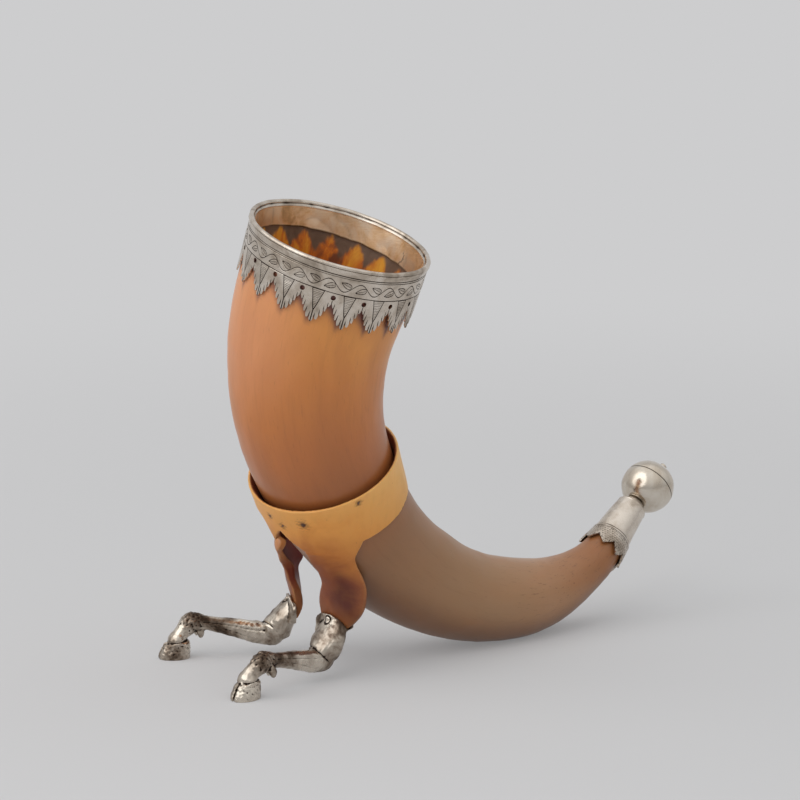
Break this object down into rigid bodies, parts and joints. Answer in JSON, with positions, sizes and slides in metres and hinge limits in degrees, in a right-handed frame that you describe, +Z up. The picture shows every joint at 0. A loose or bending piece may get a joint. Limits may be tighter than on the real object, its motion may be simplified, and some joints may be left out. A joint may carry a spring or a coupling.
{
  "type": "drinking horn",
  "caption": "Curved cattle-horn cup with a leaf-edged silver rim mount and a ball finial, resting on its belly and on cast silver cow legs riveted to a horn collar.",
  "frame": {"origin": "the middle of the small worn flat where the horn's belly rests on the table", "axes": "+Z up, +X from the legs towards the horn's tip, +Y away from the viewer, so that the near leg is on the -Y side"},
  "size_m": [0.2298, 0.1088, 0.1848],
  "materials": {
    "horn": "polished translucent amber-brown horn, greyer towards the tip",
    "collar_horn": "polished yellow-tan horn, dark red-brown on the thighs",
    "silver": "worn polished silver, tarnished in the engraving",
    "silver_inside": "dull silver with golden and dark tarnish",
    "silver_cast": "cast and chased silver, dark in the recesses",
    "pin": "dark tarnished pin"
  },
  "bodies": {
    "root": {"horn_body": "horn", "rim_band": "silver", "rim_lip": "silver", "rim_liner": "silver_inside", "stand_collar": "collar_horn", "collar_pin_near": "pin", "collar_pin_side": "pin", "collar_pin_front_upper": "pin", "collar_pin_front_lower": "pin", "collar_pin_far": "pin", "near_leg": "silver_cast", "near_leg_rivet": "silver_cast", "far_leg": "silver_cast", "far_leg_rivet": "silver_cast", "tip_ferrule": "silver", "finial_neck": "silver", "finial_stud": "silver", "finial_ball_lower": "silver", "finial_ball_upper": "silver", "finial_button": "silver"}
  },
  "joints": []
}
